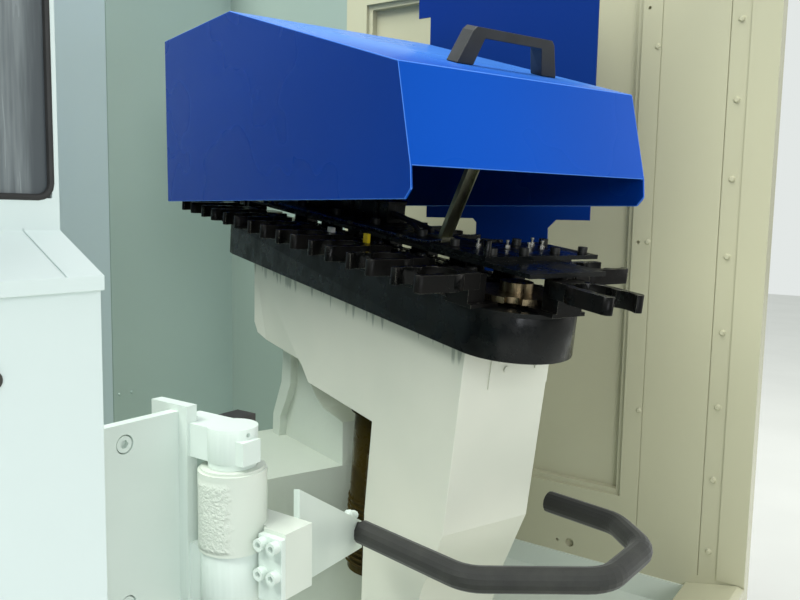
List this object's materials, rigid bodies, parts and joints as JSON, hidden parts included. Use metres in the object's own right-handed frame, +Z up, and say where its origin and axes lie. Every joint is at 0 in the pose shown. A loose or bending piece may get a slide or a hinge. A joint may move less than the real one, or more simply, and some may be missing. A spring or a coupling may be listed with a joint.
{
  "type": "cnc machining center",
  "caption": "Machining centre with a travelling column, sliding doors and an open bay that holds a hooded chain magazine and a swing-out foam handle.",
  "frame": {"origin": "floor level, under the middle of the whole machine", "axes": "+X right seen from the operator, +Y to the back, +Z up"},
  "size_m": [2.6, 1.9, 2.1],
  "materials": {
    "bed_paint": "semi-gloss machine enamel",
    "steel": "ground steel",
    "foot_steel": "blackened cast iron",
    "table_iron": "machined grey iron",
    "bay_paint": "beige sheet enamel",
    "wall_paint": "grey-green gloss enamel",
    "panel_paint": "pale mint enamel",
    "cast_paint": "thick pale enamel on casting",
    "stand_paint": "beige-grey sheet enamel",
    "blue_paint": "blue powder coat",
    "oily_black": "black paint with an oil film",
    "wheel_steel": "oiled steel",
    "motor_black": "dark motor enamel with oil",
    "black_nylon": "moulded nylon",
    "foam": "closed-cell foam",
    "window": "dark polycarbonate",
    "stay_zinc": "zinc plated strip",
    "red_plastic": "moulded plastic",
    "tag_plastic": "moulded plastic tags",
    "key_plastic": "moulded keys",
    "switch_black": "moulded switch body"
  },
  "bodies": {
    "frame": {"base_bed": "bed_paint", "levelling_feet": "foot_steel", "x_rails": "steel", "work_table": "table_iron", "bay_floor": "bay_paint", "bay_sill": "bay_paint", "right_wall": "bay_paint", "back_wall": "wall_paint", "left_wall": "panel_paint", "partition": "wall_paint", "front_panel": "panel_paint", "front_window": "window", "top_frame": "panel_paint", "door_rails": "steel", "electrical_cabinet": "panel_paint", "guard_plate": "blue_paint", "hinge_bracket": "cast_paint", "bracket_screws": "cast_paint", "hinge_pin": "cast_paint", "limit_switch": "switch_black", "stand": "stand_paint", "stand_cover_plate": "stand_paint", "pillar": "cast_paint", "magazine_housing": "oily_black", "magazine_deck": "oily_black", "magazine_top_plate": "oily_black", "top_plate_studs": "foot_steel", "magazine_motor": "motor_black", "cover_stay": "stay_zinc", "cover_hinge_brackets": "stay_zinc", "operator_console": "panel_paint", "console_screen": "window", "console_keys": "key_plastic"},
    "front_wheel": {"front_wheel": "wheel_steel", "front_forks": "black_nylon"},
    "rear_wheel": {"rear_wheel": "wheel_steel", "rear_forks": "black_nylon"},
    "near_run": {"near_forks": "black_nylon", "pocket_tags": "tag_plastic"},
    "far_run": {"far_forks": "black_nylon"},
    "cover": {"magazine_cover": "blue_paint", "cover_handle": "black_nylon", "cover_hinge_leaves": "stay_zinc"},
    "swing_arm": {"hinge_barrel": "cast_paint", "clamp_plate": "cast_paint", "clamp_screws": "cast_paint", "arm_plate": "cast_paint", "handle_tube": "foot_steel", "foam_sleeve": "foam"},
    "carriage": {"x_carriage": "bed_paint"},
    "column": {"column": "bed_paint"},
    "head": {"spindle_head": "panel_paint"},
    "spindle": {"spindle": "steel"},
    "left_door": {"left_door": "panel_paint", "left_door_window": "window"},
    "right_door": {"right_door": "panel_paint", "right_door_window": "window"},
    "cabinet_door": {"cabinet_door": "panel_paint"},
    "stop_button": {"stop_button": "red_plastic"},
    "override_knob": {"override_knob": "switch_black"}
  },
  "joints": [
    {"name": "x_travel", "type": "slide", "parent": "frame", "child": "carriage", "axis": [1, 0, 0], "range_m": [-0.25, 0.85]},
    {"name": "y_travel", "type": "slide", "parent": "carriage", "child": "column", "axis": [0, 1, 0], "range_m": [-0.15, 0.1]},
    {"name": "z_travel", "type": "slide", "parent": "column", "child": "head", "axis": [0, 0, 1], "range_m": [-0.35, 0.1]},
    {"name": "spindle_turn", "type": "hinge", "parent": "head", "child": "spindle", "pos_m": [-0.7, -0.45, 1.3], "axis": [0, 0, 1], "continuous": true},
    {"name": "left_door_slide", "type": "slide", "parent": "frame", "child": "left_door", "axis": [-1, 0, 0], "range_m": [0, 0.29]},
    {"name": "right_door_slide", "type": "slide", "parent": "frame", "child": "right_door", "axis": [1, 0, 0], "range_m": [0, 0.275]},
    {"name": "cover_lift", "type": "hinge", "parent": "frame", "child": "cover", "pos_m": [0.87111, 0.01753, 1.358], "axis": [-0.9336, 0.3584, 0], "range_deg": [0, 45]},
    {"name": "arm_swing", "type": "hinge", "parent": "frame", "child": "swing_arm", "pos_m": [0.193, -0.606, 0.975], "axis": [0, 0, 1], "range_deg": [-85, 0]},
    {"name": "cabinet_door_swing", "type": "hinge", "parent": "frame", "child": "cabinet_door", "pos_m": [-1.014, 0.936, 1], "axis": [0, 0, 1], "range_deg": [0, 110]},
    {"name": "stop_press", "type": "slide", "parent": "frame", "child": "stop_button", "axis": [0, 0.9619, -0.2734], "range_m": [0, 0.006], "stiffness_N_per_m": 800},
    {"name": "override_turn", "type": "hinge", "parent": "frame", "child": "override_knob", "pos_m": [-0.99, -0.86299, 1.19429], "axis": [0, -0.9619, 0.2734], "range_deg": [-150, 150]},
    {"name": "wheel_index", "type": "hinge", "parent": "frame", "child": "front_wheel", "pos_m": [0.57448, -0.75523, 1.18915], "axis": [-0.0406, -0.1057, 0.9936], "range_deg": [-90, 90]},
    {"name": "rear_wheel_index", "type": "hinge", "parent": "frame", "child": "rear_wheel", "pos_m": [0.85613, -0.02151, 1.2787], "axis": [-0.0406, -0.1057, 0.9936], "range_deg": [-90, 90]},
    {"name": "near_run_index", "type": "slide", "parent": "frame", "child": "near_run", "axis": [-0.3561, -0.9276, -0.1132], "range_m": [-0.1131, 0.1131]},
    {"name": "far_run_index", "type": "slide", "parent": "frame", "child": "far_run", "axis": [0.3561, 0.9276, 0.1132], "range_m": [-0.1131, 0.1131]}
  ],
  "couplings": [
    {"joint": "rear_wheel_index", "follows": "wheel_index", "ratio": 1},
    {"joint": "near_run_index", "follows": "wheel_index", "m_per_rad": 0.071938},
    {"joint": "far_run_index", "follows": "wheel_index", "m_per_rad": 0.071938}
  ]
}
